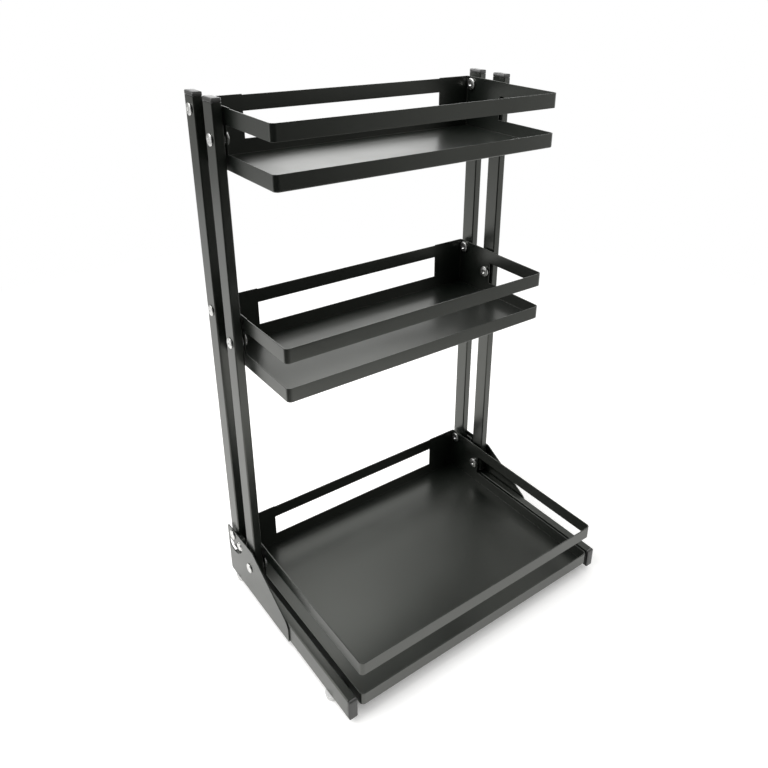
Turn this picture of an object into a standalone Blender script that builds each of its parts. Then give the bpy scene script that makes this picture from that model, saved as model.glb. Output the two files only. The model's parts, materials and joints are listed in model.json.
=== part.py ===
"""Folding three-tier storage organizer.

Two side frames of flat steel tube carry three sheet-steel trays. On each side a rear and a front
upright stand between a side bracket and the trays, and turn on rivets. Rear rivets, front rivets,
uprights and trays form parallelograms, so the uprights fold forward and down by a quarter turn
while the trays stay level. A stud on each rear upright runs in an arc slot of the bracket, whose
ends stop the frame upright and folded.

x runs along the trays, -y is the front and z is up. The origin lies at the middle of the footprint,
on the surface that the feet stand on. Lengths are in metres.
"""

import math

import bmesh
import bpy
from mathutils import Matrix, Vector

# Flat steel tube of the uprights and the foot rails
TUBE_WIDTH = 0.010
TUBE_DEPTH = 0.020
TUBE_WALL = 0.001
TUBE_EDGE_RADIUS = 0.0015

# Gap between pieces that seat on each other, and around rivets in their holes
SEAT_GAP = 0.0003
RUNNING_GAP = 0.0003
# How far a cutter passes the piece that it cuts
OVERRUN = 0.002

# Trays
TRAY_WIDTH = 0.3422
TRAY_DEPTH = 0.149
BOTTOM_TRAY_DEPTH = 0.269
TRAY_SHEET = 0.0012
TRAY_SETBACK = 0.001
TRAY_ABOVE_PIVOT = 0.0079
GUARD_HEIGHT = 0.0159
WINDOW_HEIGHT = 0.0272
PAN_HEIGHT = 0.0159
TRAY_FRONT_RADIUS = 0.0035
TRAY_REAR_RADIUS = 0.003
PAN_BEND_RADIUS = 0.0014
CORNER_PLATE_WIDTH = 0.045
CORNER_PLATE_DEPTH = 0.0585
CORNER_PLATE_RISE = 0.0008
CORNER_PLATE_LAP = 0.0095

# Side frames
TRAY_TO_UPRIGHT = 0.0025
UPRIGHT_GAP = 0.022
FOLDED_GAP = 0.0015
MIDDLE_TIER_RISE = 0.3017
TOP_TIER_RISE = 0.2091
UPRIGHT_HEADROOM = 0.017
REAR_TAIL = 0.025
FRONT_TAIL = 0.0105
TAIL_CLEARANCE = 0.0006

# Black end plugs of the tubes
UPRIGHT_PLUG_CAP = 0.0043
FOOT_PLUG_CAP = 0.0035
TAIL_PLUG_CAP = 0.0015
PLUG_STEM = 0.009
TAIL_PLUG_STEM = 0.0045
PLUG_CHAMFER = 0.0007

# Side brackets
BRACKET_SHEET = 0.0012
UPRIGHT_TO_BRACKET = 0.0023
BRACKET_LENGTH = 0.148
BRACKET_FRONT_HEIGHT = 0.0237
BRACKET_ABOVE_PIVOT = 0.008
BRACKET_PAST_UPRIGHT = 0.0007
BRACKET_BEHIND_SLOT = 0.0016
BRACKET_NOSE_RADIUS = 0.013
BRACKET_BEND_RADIUS = 0.010
BRACKET_REAR_RADIUS = 0.003

# Foot rails and feet
RAIL_HEIGHT = 0.025
FRONT_END_SETBACK = 0.0004
FOOT_HEIGHT = 0.0065
FOOT_RADIUS = 0.0085
FOOT_TAPER = 0.0008
FOOT_EDGE_RADIUS = 0.0012
REAR_FOOT_INSET = 0.0185
FRONT_FOOT_INSET = 0.041

# Rivets that the frame folds on, and their flanged spacers
SHANK_RADIUS = 0.003
OUTER_HEAD_RADIUS = 0.006
OUTER_HEAD_HEIGHT = 0.002
INNER_HEAD_RADIUS = 0.0067
INNER_HEAD_HEIGHT = 0.0029
HEAD_EDGE = 0.0006
DIMPLE_RADIUS = 0.0019
DIMPLE_DEPTH = 0.0008
SPACER_FLANGE_RADIUS = 0.0063
SPACER_FLANGE = 0.0015
SPACER_BARREL_RADIUS = 0.0045

# Stop stud on a lug of each rear upright, and the arc slot that it runs in
STOP_RADIUS = 0.0185
STOP_REST_ANGLE = math.radians(20)
FOLD_ANGLE = math.radians(90)
SLOT_WIDTH = 0.0125
STUD_HEAD_RADIUS = 0.005
STUD_BACK_HEAD = 0.0015
LUG_SHEET = 0.003
LUG_RISE = 0.0048
LUG_DROP = 0.017
LUG_PAST_STUD = 0.0051
LUG_CORNER_RADIUS = 0.004

# Facets of round forms
RIVET_STEPS = 14
SPACER_STEPS = 12
FOOT_STEPS = 20
HOLE_STEPS = 14
DOME_STEPS = 3
CORNER_STEPS = 4
EDGE_STEPS = 2
SLOT_STEPS = 9
MERGE_DISTANCE = 0.00001
SMOOTH_ANGLE = math.radians(35)
FLAT_ANGLE = math.radians(1)

# Places across the width, from the middle outwards
TRAY_WALL_X = TRAY_WIDTH / 2
UPRIGHT_INNER_X = TRAY_WALL_X + TRAY_TO_UPRIGHT
UPRIGHT_MIDDLE_X = UPRIGHT_INNER_X + TUBE_WIDTH / 2
UPRIGHT_OUTER_X = UPRIGHT_INNER_X + TUBE_WIDTH
BRACKET_INNER_X = UPRIGHT_OUTER_X + UPRIGHT_TO_BRACKET
BRACKET_OUTER_X = BRACKET_INNER_X + BRACKET_SHEET
RAIL_MIDDLE_X = BRACKET_INNER_X - SEAT_GAP - TUBE_WIDTH / 2
LUG_MIDDLE_X = UPRIGHT_OUTER_X - LUG_SHEET / 2

# Places along the depth
SLOT_REACH_BACK = STOP_RADIUS * math.sin(STOP_REST_ANGLE) + SLOT_WIDTH / 2
BRACKET_OVERHANG = SLOT_REACH_BACK + BRACKET_BEHIND_SLOT - TUBE_DEPTH / 2
OVERALL_DEPTH = BRACKET_OVERHANG + TRAY_SETBACK + BOTTOM_TRAY_DEPTH
BRACKET_REAR_Y = OVERALL_DEPTH / 2
FRONT_Y = BRACKET_REAR_Y - OVERALL_DEPTH
UPRIGHT_REAR_Y = BRACKET_REAR_Y - BRACKET_OVERHANG
TRAY_REAR_Y = UPRIGHT_REAR_Y - TRAY_SETBACK
PIVOT_REACH = TUBE_DEPTH + UPRIGHT_GAP
REAR_PIVOT_Y = UPRIGHT_REAR_Y - TUBE_DEPTH / 2
FRONT_PIVOT_Y = REAR_PIVOT_Y - PIVOT_REACH
UPRIGHT_FRONT_Y = FRONT_PIVOT_Y - TUBE_DEPTH / 2
RAIL_REAR_Y = BRACKET_REAR_Y
RAIL_FRONT_Y = FRONT_Y + FRONT_END_SETBACK

# Places up the height
RAIL_BOTTOM_Z = FOOT_HEIGHT + SEAT_GAP
RAIL_TOP_Z = RAIL_BOTTOM_Z + RAIL_HEIGHT
PIVOT_DROP = TUBE_DEPTH + FOLDED_GAP
TAIL_SWEEP = math.hypot(FRONT_TAIL, TUBE_DEPTH / 2)
FRONT_BASE_PIVOT_Z = RAIL_TOP_Z + TAIL_SWEEP + TAIL_CLEARANCE
BASE_PIVOT_Z = FRONT_BASE_PIVOT_Z + PIVOT_DROP
MIDDLE_PIVOT_Z = BASE_PIVOT_Z + MIDDLE_TIER_RISE
TOP_PIVOT_Z = MIDDLE_PIVOT_Z + TOP_TIER_RISE
UPRIGHT_TOP_Z = TOP_PIVOT_Z + UPRIGHT_HEADROOM
TRAY_BELOW_PIVOT = GUARD_HEIGHT + WINDOW_HEIGHT + PAN_HEIGHT - TRAY_ABOVE_PIVOT

SIDES = {"left": -1, "right": 1}
TIERS = {"bottom": BASE_PIVOT_Z, "middle": MIDDLE_PIVOT_Z, "top": TOP_PIVOT_Z}


def start_scene():
    """Remove what the scene holds and make the collections of parts and of cutters."""
    for old in list(bpy.data.objects):
        bpy.data.objects.remove(old, do_unlink=True)
    collections = []
    for name in ("folding_storage_organizer", "cutters"):
        collection = bpy.data.collections.new(name)
        bpy.context.scene.collection.children.link(collection)
        collections.append(collection)
    return collections


def make_material(name, colour, metallic, roughness, alpha=1.0):
    """Principled material of one finish."""
    material = bpy.data.materials.new(name)
    material.use_nodes = True
    shader = material.node_tree.nodes["Principled BSDF"]
    shader.inputs["Base Color"].default_value = (*colour, 1.0)
    shader.inputs["Metallic"].default_value = metallic
    shader.inputs["Roughness"].default_value = roughness
    shader.inputs["Alpha"].default_value = alpha
    return material


def make_pivots():
    """Empties on the fold axes: pieces of each moving body hang on the one of their body."""
    places = {
        "rear_uprights": (None, REAR_PIVOT_Y, BASE_PIVOT_Z),
        "front_uprights": (None, FRONT_PIVOT_Y, FRONT_BASE_PIVOT_Z),
        "middle_tray": ("rear_uprights", REAR_PIVOT_Y, MIDDLE_PIVOT_Z),
        "top_tray": ("rear_uprights", REAR_PIVOT_Y, TOP_PIVOT_Z),
    }
    pivots = {}
    for body, (carrier, y, z) in places.items():
        empty = bpy.data.objects.new(body + "_pivot", None)
        PARTS.objects.link(empty)
        place = Vector((0, y, z))
        if carrier:
            empty.parent = pivots[carrier][0]
            empty.location = place - pivots[carrier][1]
        else:
            empty.location = place
        pivots[body] = (empty, place)
    return pivots


def add_part(name, mesh, material, place, body=None, turn=None):
    """Link a mesh as the named piece, at a place in the world, on its body's pivot."""
    part = bpy.data.objects.new(name, mesh)
    if not mesh.materials:
        mesh.materials.append(material)
    PARTS.objects.link(part)
    part.location = Vector(place)
    if turn:
        part.rotation_euler = turn
    if body:
        pivot, pivot_place = PIVOTS[body]
        part.parent = pivot
        part.location = Vector(place) - pivot_place
    return part


def add_cutter(name, mesh, place):
    """Link a mesh as a cutter, which isn't a piece of the object."""
    cutter = bpy.data.objects.new(name, mesh)
    CUTTERS.objects.link(cutter)
    cutter.location = place
    cutter.hide_render = True
    cutter.display_type = "WIRE"
    return cutter


def combine(part, tool, operation="DIFFERENCE"):
    """Cut a part with a cutter, or join it to one."""
    boolean = part.modifiers.new(tool.name, "BOOLEAN")
    boolean.operation = operation
    boolean.solver = "EXACT"
    boolean.object = tool


def round_corners(corners):
    """Outline through (u, v, radius, steps) corners in turning order, each an arc of its radius."""
    outline = []
    for index, (u, v, radius, steps) in enumerate(corners):
        point = Vector((u, v))
        before = Vector(corners[index - 1][:2]) - point
        after = Vector(corners[(index + 1) % len(corners)][:2]) - point
        half = before.angle(after) / 2
        radius = min(radius, min(before.length, after.length) * math.tan(half) / 2)
        if radius <= MERGE_DISTANCE:
            outline.append(point)
            continue
        middle = point + (before.normalized() + after.normalized()).normalized() * radius / math.sin(half)
        start = point + before.normalized() * radius / math.tan(half) - middle
        end = point + after.normalized() * radius / math.tan(half) - middle
        sweep = start.angle_signed(end)
        for step in range(steps + 1):
            outline.append(middle + Matrix.Rotation(-sweep * step / steps, 2) @ start)
    return outline


def rectangle(width, depth, radius, steps=EDGE_STEPS):
    """Outline of a rectangle about its middle with equal corner radii."""
    u = width / 2
    v = depth / 2
    return round_corners([(a * u, b * v, radius, steps) for a, b in ((-1, -1), (1, -1), (1, 1), (-1, 1))])


def prism(outline, thickness, turn=None):
    """Mesh of a flat outline, extruded about its plane by a thickness."""
    curve = bpy.data.curves.new("outline", "CURVE")
    curve.dimensions = "2D"
    curve.fill_mode = "BOTH"
    curve.extrude = thickness / 2
    spline = curve.splines.new("POLY")
    spline.points.add(len(outline) - 1)
    for point, (u, v) in zip(spline.points, outline):
        point.co = (u, v, 0, 1)
    spline.use_cyclic_u = True
    holder = bpy.data.objects.new("outline", curve)
    bpy.context.scene.collection.objects.link(holder)
    bpy.context.view_layer.update()
    graph = bpy.context.evaluated_depsgraph_get()
    mesh = bpy.data.meshes.new_from_object(holder.evaluated_get(graph))
    bpy.data.objects.remove(holder)
    shape = bmesh.new()
    shape.from_mesh(mesh)
    bmesh.ops.remove_doubles(shape, verts=shape.verts, dist=MERGE_DISTANCE)
    bmesh.ops.dissolve_limit(shape, angle_limit=FLAT_ANGLE, verts=shape.verts, edges=shape.edges)
    bmesh.ops.recalc_face_normals(shape, faces=shape.faces)
    if turn:
        bmesh.ops.transform(shape, matrix=turn, verts=shape.verts)
    shape.to_mesh(mesh)
    shape.free()
    return soften(mesh)


def soften(mesh):
    """Smooth shading that keeps the real edges sharp."""
    mesh.shade_smooth()
    mesh.set_sharp_from_angle(angle=SMOOTH_ANGLE)
    return mesh


def bevel_edges(mesh, width, steps, wanted):
    """Round those edges of a mesh whose two ends both pass a test."""
    shape = bmesh.new()
    shape.from_mesh(mesh)
    edges = [edge for edge in shape.edges if all(wanted(vert.co) for vert in edge.verts)]
    bmesh.ops.bevel(
        shape, geom=edges, offset=width, segments=steps, profile=0.5, affect="EDGES", clamp_overlap=True)
    bmesh.ops.recalc_face_normals(shape, faces=shape.faces)
    shape.to_mesh(mesh)
    shape.free()
    return soften(mesh)


def box(width, depth, height):
    """Box about its middle."""
    mesh = bpy.data.meshes.new("box")
    shape = bmesh.new()
    bmesh.ops.create_cube(shape, size=1.0, matrix=Matrix.Diagonal((width, depth, height, 1)))
    shape.to_mesh(mesh)
    shape.free()
    return mesh


def rod_along_x(radius, length):
    """Cylinder along x about its middle."""
    mesh = bpy.data.meshes.new("rod")
    shape = bmesh.new()
    bmesh.ops.create_cone(
        shape, cap_ends=True, segments=HOLE_STEPS, radius1=radius, radius2=radius, depth=length,
        matrix=Matrix.Rotation(math.radians(90), 4, "Y"))
    shape.to_mesh(mesh)
    shape.free()
    return mesh


def profile_mesh(name, profile, ring=False):
    """Edges of a turned profile in the xz plane, given as (radius, height) from top to bottom.

    A ring's profile stays off the axis and closes on itself."""
    mesh = bpy.data.meshes.new(name)
    points = [(radius, 0, height) for radius, height in profile]
    edges = [(index, index + 1) for index in range(len(points) - 1)]
    if ring:
        edges.append((len(points) - 1, 0))
    mesh.from_pydata(points, edges, [])
    return mesh


def turn_profile(part, steps):
    """Turn a part's profile about its own z axis."""
    screw = part.modifiers.new("turned", "SCREW")
    screw.axis = "Z"
    screw.angle = math.radians(360)
    screw.steps = steps
    screw.render_steps = steps
    screw.use_merge_vertices = True
    screw.merge_threshold = MERGE_DISTANCE
    screw.use_smooth_shade = True


# The plane of the side view: u runs along y, v runs along z, and the thickness lies along x
SIDE_PLANE = Matrix(((0, 0, 1, 0), (1, 0, 0, 0), (0, 1, 0, 0), (0, 0, 0, 1)))
# Tubes along y: their section's width lies along x and its depth along z
ALONG_Y = Matrix.Rotation(math.radians(-90), 4, "X")


def add_tube(name, depth, length, place, turn=None, body=None):
    """Hollow flat steel tube of one section depth, along z unless turned."""
    outer = rectangle(TUBE_WIDTH, depth, TUBE_EDGE_RADIUS)
    inner = rectangle(TUBE_WIDTH - 2 * TUBE_WALL, depth - 2 * TUBE_WALL, 0)
    tube = add_part(name, prism(outer, length, turn), MATERIALS["black_paint"], place, body)
    combine(tube, add_cutter(name + "_bore", prism(inner, length + 2 * OVERRUN, turn), place))
    return tube


def add_plug(name, depth, place, cap, stem_length, turn, body=None):
    """End plug: a cap with softened rim, and a stem inside the tube. Its seat lies at the place."""
    cap_mesh = prism(rectangle(TUBE_WIDTH, depth, TUBE_EDGE_RADIUS), cap,
                     Matrix.Translation((0, 0, cap / 2)))
    chamfer = min(PLUG_CHAMFER, cap / 2)
    cap_mesh = bevel_edges(cap_mesh, chamfer, 1, lambda point: point.z > cap / 2)
    stem_width = TUBE_WIDTH - 2 * (TUBE_WALL + SEAT_GAP)
    stem_depth = depth - 2 * (TUBE_WALL + SEAT_GAP)
    stem_top = cap / 2
    stem_mesh = prism(rectangle(stem_width, stem_depth, 0), stem_length + stem_top,
                      Matrix.Translation((0, 0, (stem_top - stem_length) / 2)))
    plug = add_part(name, cap_mesh, MATERIALS["black_plastic"], place, body, turn)
    stem = add_cutter(name + "_stem", stem_mesh, place)
    stem.rotation_euler = turn
    combine(plug, stem, "UNION")
    return plug


def add_pivot_cutters():
    """Rods across the whole width, one on each of the six rivet axes."""
    cutters = {}
    length = 2 * (BRACKET_OUTER_X + OVERRUN)
    for tier, z in TIERS.items():
        for row, y, drop in (("rear", REAR_PIVOT_Y, 0), ("front", FRONT_PIVOT_Y, PIVOT_DROP)):
            rod = rod_along_x(SHANK_RADIUS + RUNNING_GAP, length)
            cutters[tier, row] = add_cutter(tier + "_" + row + "_pivot_hole", rod, (0, y, z - drop))
    return cutters


def add_tray(tier, depth, body):
    """Sheet tray: a pan, a guard rail round it, and corner plates at the rear that join the two."""
    pivot_z = TIERS[tier]
    bottom = pivot_z - TRAY_BELOW_PIVOT
    top = pivot_z + TRAY_ABOVE_PIVOT + CORNER_PLATE_RISE
    height = top - bottom

    def outline(inset):
        """Plan of the tray about its middle, moved inwards by an inset."""
        u = TRAY_WIDTH / 2 - inset
        v = depth / 2 - inset
        front = max(TRAY_FRONT_RADIUS - inset, 0)
        rear = max(TRAY_REAR_RADIUS - inset, 0)
        return round_corners([
            (-u, -v, front, CORNER_STEPS), (u, -v, front, CORNER_STEPS),
            (u, v, rear, EDGE_STEPS), (-u, v, rear, EDGE_STEPS)])

    middle_y = TRAY_REAR_Y - depth / 2
    shell = prism(outline(0), height, Matrix.Translation((0, 0, height / 2)))
    bend = min(PAN_BEND_RADIUS, TRAY_SHEET * 2)
    shell = bevel_edges(shell, bend, EDGE_STEPS, lambda point: point.z < height / 2)
    tray = add_part(tier + "_tray", shell, MATERIALS["black_paint"], (0, middle_y, bottom), body)

    hollow_height = height - TRAY_SHEET + OVERRUN
    hollow = prism(outline(TRAY_SHEET), hollow_height)
    combine(tray, add_cutter(tier + "_tray_hollow", hollow, (0, middle_y, bottom + TRAY_SHEET + hollow_height / 2)))

    window_z = bottom + PAN_HEIGHT + WINDOW_HEIGHT / 2
    open_depth = depth - CORNER_PLATE_DEPTH
    open_y = TRAY_REAR_Y - CORNER_PLATE_DEPTH - (open_depth + OVERRUN) / 2
    front_window = box(TRAY_WIDTH + 2 * OVERRUN, open_depth + OVERRUN, WINDOW_HEIGHT)
    combine(tray, add_cutter(tier + "_tray_front_window", front_window, (0, open_y, window_z)))

    rear_width = TRAY_WIDTH - 2 * CORNER_PLATE_WIDTH
    rear_window = box(rear_width, 2 * (TRAY_SHEET + OVERRUN), WINDOW_HEIGHT)
    combine(tray, add_cutter(tier + "_tray_rear_window", rear_window, (0, TRAY_REAR_Y, window_z)))

    trim_z = top - CORNER_PLATE_RISE + OVERRUN / 2
    lap_depth = open_depth - CORNER_PLATE_LAP
    lap_y = TRAY_REAR_Y - depth - OVERRUN + (lap_depth + OVERRUN) / 2
    front_trim = box(TRAY_WIDTH + 2 * OVERRUN, lap_depth + OVERRUN, OVERRUN)
    combine(tray, add_cutter(tier + "_tray_front_trim", front_trim, (0, lap_y, trim_z)))
    rear_trim = box(rear_width, 2 * (TRAY_SHEET + OVERRUN), OVERRUN)
    combine(tray, add_cutter(tier + "_tray_rear_trim", rear_trim, (0, TRAY_REAR_Y, trim_z)))

    for row in ("rear", "front"):
        combine(tray, PIVOT_CUTTERS[tier, row])
    return tray


def dome(radius, height, edge, start_radius):
    """Profile of a domed head from its inner radius out to its rim, over a base at height zero."""
    rise = height - edge
    points = []
    for step in range(DOME_STEPS + 1):
        share = start_radius / radius + (1 - start_radius / radius) * step / DOME_STEPS
        points.append((radius * share, edge + rise * math.sqrt(max(1 - share * share, 0))))
    return points


def rivet_profile(grip):
    """Rivet from its dimpled outer head down to its inner head, with the grip between their seats."""
    outer = dome(OUTER_HEAD_RADIUS, OUTER_HEAD_HEIGHT, HEAD_EDGE, DIMPLE_RADIUS)
    rim = outer[0][1]
    inner = dome(INNER_HEAD_RADIUS, INNER_HEAD_HEIGHT, HEAD_EDGE, 0)
    profile = [(0, rim - DIMPLE_DEPTH), (DIMPLE_RADIUS / 2, rim - DIMPLE_DEPTH * 3 / 4)]
    profile += outer
    profile += [(OUTER_HEAD_RADIUS, 0), (SHANK_RADIUS, 0), (SHANK_RADIUS, -grip), (INNER_HEAD_RADIUS, -grip)]
    profile += [(radius, -grip - height) for radius, height in reversed(inner)]
    return profile


def outward_turn(side):
    """Rotation that lays a turned piece's z axis outwards along x."""
    return (0, math.radians(90) * SIDES[side], 0)


def add_rivets(tier, outer_face_x, body):
    """Four rivets and four flanged spacers that carry one tray."""
    seat_x = outer_face_x + SEAT_GAP
    grip = seat_x - (TRAY_WALL_X - TRAY_SHEET - SEAT_GAP)
    rivet = profile_mesh(tier + "_rivet", rivet_profile(grip))
    length = TRAY_TO_UPRIGHT - 2 * SEAT_GAP
    bore = SHANK_RADIUS + RUNNING_GAP
    flange = min(SPACER_FLANGE, length / 2)
    spacer = profile_mesh(tier + "_spacer", [
        (bore, length), (SPACER_BARREL_RADIUS, length), (SPACER_BARREL_RADIUS, flange),
        (SPACER_FLANGE_RADIUS, flange), (SPACER_FLANGE_RADIUS, 0), (bore, 0)], ring=True)
    for side, sign in SIDES.items():
        for row, y, drop in (("rear", REAR_PIVOT_Y, 0), ("front", FRONT_PIVOT_Y, PIVOT_DROP)):
            z = TIERS[tier] - drop
            name = side + "_" + tier + "_" + row
            turn = outward_turn(side)
            piece = add_part(name + "_rivet", rivet, MATERIALS["zinc"], (sign * seat_x, y, z), body, turn)
            turn_profile(piece, RIVET_STEPS)
            spacer_x = TRAY_WALL_X + SEAT_GAP
            piece = add_part(name + "_spacer", spacer, MATERIALS["zinc"], (sign * spacer_x, y, z), body, turn)
            turn_profile(piece, SPACER_STEPS)


def add_upright(side, row):
    """Upright tube with its rivet holes and end plugs."""
    body = row + "_uprights"
    pivot_y = REAR_PIVOT_Y if row == "rear" else FRONT_PIVOT_Y
    base_z = BASE_PIVOT_Z if row == "rear" else FRONT_BASE_PIVOT_Z
    tail = REAR_TAIL if row == "rear" else FRONT_TAIL
    x = SIDES[side] * UPRIGHT_MIDDLE_X
    tube_top = UPRIGHT_TOP_Z - UPRIGHT_PLUG_CAP - SEAT_GAP
    tube_bottom = base_z - tail + TAIL_PLUG_CAP + SEAT_GAP
    length = tube_top - tube_bottom
    place = (x, pivot_y, (tube_top + tube_bottom) / 2)
    name = side + "_" + row + "_upright"
    tube = add_tube(name, TUBE_DEPTH, length, place, None, body)
    for tier in TIERS:
        combine(tube, PIVOT_CUTTERS[tier, row])
    seat = (x, pivot_y, tube_top + SEAT_GAP)
    add_plug(name + "_top_plug", TUBE_DEPTH, seat, UPRIGHT_PLUG_CAP, PLUG_STEM, (0, 0, 0), body)
    flip = (math.radians(180), 0, 0)
    seat = (x, pivot_y, tube_bottom - SEAT_GAP)
    add_plug(name + "_bottom_plug", TUBE_DEPTH, seat, TAIL_PLUG_CAP, TAIL_PLUG_STEM, flip, body)


def add_foot_rail(side):
    """Foot rail with its plugs and its two clear feet."""
    x = SIDES[side] * RAIL_MIDDLE_X
    z = RAIL_BOTTOM_Z + RAIL_HEIGHT / 2
    rear = RAIL_REAR_Y - FOOT_PLUG_CAP - SEAT_GAP
    front = RAIL_FRONT_Y + FOOT_PLUG_CAP + SEAT_GAP
    name = side + "_foot_rail"
    add_tube(name, RAIL_HEIGHT, rear - front, (x, (rear + front) / 2, z), ALONG_Y)
    for end, y, turn in (("front", front - SEAT_GAP, 90), ("rear", rear + SEAT_GAP, -90)):
        turn = (math.radians(turn), 0, 0)
        add_plug(name + "_" + end + "_plug", RAIL_HEIGHT, (x, y, z), FOOT_PLUG_CAP, PLUG_STEM, turn)
    for row, y in (("rear", RAIL_REAR_Y - REAR_FOOT_INSET), ("front", RAIL_FRONT_Y + FRONT_FOOT_INSET)):
        foot = add_part(side + "_" + row + "_foot", FOOT_PROFILE, MATERIALS["clear_rubber"], (x, y, 0))
        turn_profile(foot, FOOT_STEPS)


def foot_profile():
    """Clear foot: a low disc that narrows downwards, with a rounded lower edge."""
    low_radius = FOOT_RADIUS - FOOT_TAPER
    edge = FOOT_EDGE_RADIUS
    profile = [(0, FOOT_HEIGHT), (FOOT_RADIUS, FOOT_HEIGHT)]
    for step in range(EDGE_STEPS + 1):
        angle = math.radians(90) * step / EDGE_STEPS
        profile.append((low_radius - edge * (1 - math.cos(angle)), edge * (1 - math.sin(angle))))
    profile.append((0, 0))
    return profile


def arc(radius, start, end, middle=(0, 0)):
    """Points of an arc about a middle, from one angle to another."""
    angles = [start + (end - start) * step / SLOT_STEPS for step in range(SLOT_STEPS + 1)]
    return [(middle[0] + radius * math.cos(angle), middle[1] + radius * math.sin(angle)) for angle in angles]


def slot_outline():
    """Arc slot about the base pivot: angles count from +y, and the stud rests at the front end."""
    first = math.pi + STOP_REST_ANGLE
    last = first + FOLD_ANGLE
    half = SLOT_WIDTH / 2
    front = (STOP_RADIUS * math.cos(first), STOP_RADIUS * math.sin(first))
    rear = (STOP_RADIUS * math.cos(last), STOP_RADIUS * math.sin(last))
    outline = arc(STOP_RADIUS + half, first, last)
    outline += arc(half, last, last + math.pi, rear)[1:]
    outline += arc(STOP_RADIUS - half, last, first)[1:]
    outline += arc(half, first + math.pi, first + 2 * math.pi, front)[1:-1]
    return outline


def add_bracket(side):
    """Side bracket: a sloping plate outside the uprights that stands on the surface of the foot rail."""
    top = BASE_PIVOT_Z + BRACKET_ABOVE_PIVOT - RAIL_BOTTOM_Z
    bend_y = UPRIGHT_FRONT_Y - BRACKET_PAST_UPRIGHT - BRACKET_REAR_Y
    corners = [
        (0, 0, BRACKET_REAR_RADIUS, EDGE_STEPS),
        (0, top, BRACKET_REAR_RADIUS, EDGE_STEPS),
        (bend_y, top, BRACKET_BEND_RADIUS, EDGE_STEPS),
        (-BRACKET_LENGTH, BRACKET_FRONT_HEIGHT, BRACKET_NOSE_RADIUS, CORNER_STEPS),
        (-BRACKET_LENGTH, 0, 0, 1),
    ]
    plate = prism(round_corners(corners), BRACKET_SHEET, SIDE_PLANE)
    x = SIDES[side] * (BRACKET_INNER_X + BRACKET_SHEET / 2)
    place = (x, BRACKET_REAR_Y, RAIL_BOTTOM_Z)
    bracket = add_part(side + "_side_bracket", plate, MATERIALS["black_paint"], place)
    for row in ("rear", "front"):
        combine(bracket, PIVOT_CUTTERS["bottom", row])
    slot = prism(slot_outline(), BRACKET_SHEET + 2 * OVERRUN, SIDE_PLANE)
    combine(bracket, add_cutter(side + "_stop_slot", slot, (x, REAR_PIVOT_Y, BASE_PIVOT_Z)))


def add_stop(side):
    """Lug on the front of the rear upright, and the stud that it carries through the slot."""
    sign = SIDES[side]
    body = "rear_uprights"
    stud_y = -STOP_RADIUS * math.cos(STOP_REST_ANGLE)
    stud_z = -STOP_RADIUS * math.sin(STOP_REST_ANGLE)
    rear = -TUBE_DEPTH / 2 - SEAT_GAP
    front = stud_y - LUG_PAST_STUD
    corners = [
        (rear, -LUG_DROP, 0, 1), (rear, LUG_RISE, 0, 1),
        (front, LUG_RISE, LUG_CORNER_RADIUS, CORNER_STEPS), (front, -LUG_DROP, LUG_CORNER_RADIUS, CORNER_STEPS)]
    plate = prism(round_corners(corners), LUG_SHEET, SIDE_PLANE)
    place = (sign * LUG_MIDDLE_X, REAR_PIVOT_Y, BASE_PIVOT_Z)
    lug = add_part(side + "_stop_lug", plate, MATERIALS["black_paint"], place, body)
    hole = rod_along_x(SHANK_RADIUS + RUNNING_GAP, LUG_SHEET + 2 * OVERRUN)
    stud_place = Vector((sign * LUG_MIDDLE_X, REAR_PIVOT_Y + stud_y, BASE_PIVOT_Z + stud_z))
    combine(lug, add_cutter(side + "_stop_hole", hole, stud_place))

    collar_radius = SLOT_WIDTH / 2 - RUNNING_GAP
    seat = BRACKET_SHEET + UPRIGHT_TO_BRACKET - SEAT_GAP
    grip = LUG_SHEET + 2 * SEAT_GAP
    head = dome(STUD_HEAD_RADIUS, OUTER_HEAD_HEIGHT, HEAD_EDGE, DIMPLE_RADIUS)
    rim = head[0][1]
    profile = [(0, rim - DIMPLE_DEPTH), (DIMPLE_RADIUS / 2, rim - DIMPLE_DEPTH * 3 / 4)]
    profile += head
    profile += [
        (STUD_HEAD_RADIUS, 0), (collar_radius, 0), (collar_radius, -seat), (SHANK_RADIUS, -seat),
        (SHANK_RADIUS, -seat - grip), (STUD_HEAD_RADIUS, -seat - grip),
        (STUD_HEAD_RADIUS, -seat - grip - STUD_BACK_HEAD), (0, -seat - grip - STUD_BACK_HEAD)]
    stud = profile_mesh(side + "_stop_stud", profile)
    stud_place.x = sign * BRACKET_OUTER_X
    piece = add_part(side + "_stop_stud", stud, MATERIALS["zinc"], stud_place, body, outward_turn(side))
    turn_profile(piece, RIVET_STEPS)


PARTS, CUTTERS = start_scene()
MATERIALS = {
    "black_paint": make_material("black_paint", (0.022, 0.022, 0.023), 0.0, 0.45),
    "black_plastic": make_material("black_plastic", (0.018, 0.018, 0.019), 0.0, 0.55),
    "zinc": make_material("zinc", (0.75, 0.75, 0.76), 1.0, 0.3),
    "clear_rubber": make_material("clear_rubber", (0.9, 0.9, 0.9), 0.0, 0.15, 0.35),
}
PIVOTS = make_pivots()
PIVOT_CUTTERS = add_pivot_cutters()
FOOT_PROFILE = profile_mesh("foot", foot_profile())

add_tray("bottom", BOTTOM_TRAY_DEPTH, None)
add_tray("middle", TRAY_DEPTH, "middle_tray")
add_tray("top", TRAY_DEPTH, "top_tray")
add_rivets("bottom", BRACKET_OUTER_X, None)
add_rivets("middle", UPRIGHT_OUTER_X, "middle_tray")
add_rivets("top", UPRIGHT_OUTER_X, "top_tray")
for side_name in SIDES:
    add_foot_rail(side_name)
    add_bracket(side_name)
    add_upright(side_name, "rear")
    add_upright(side_name, "front")
    add_stop(side_name)
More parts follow.
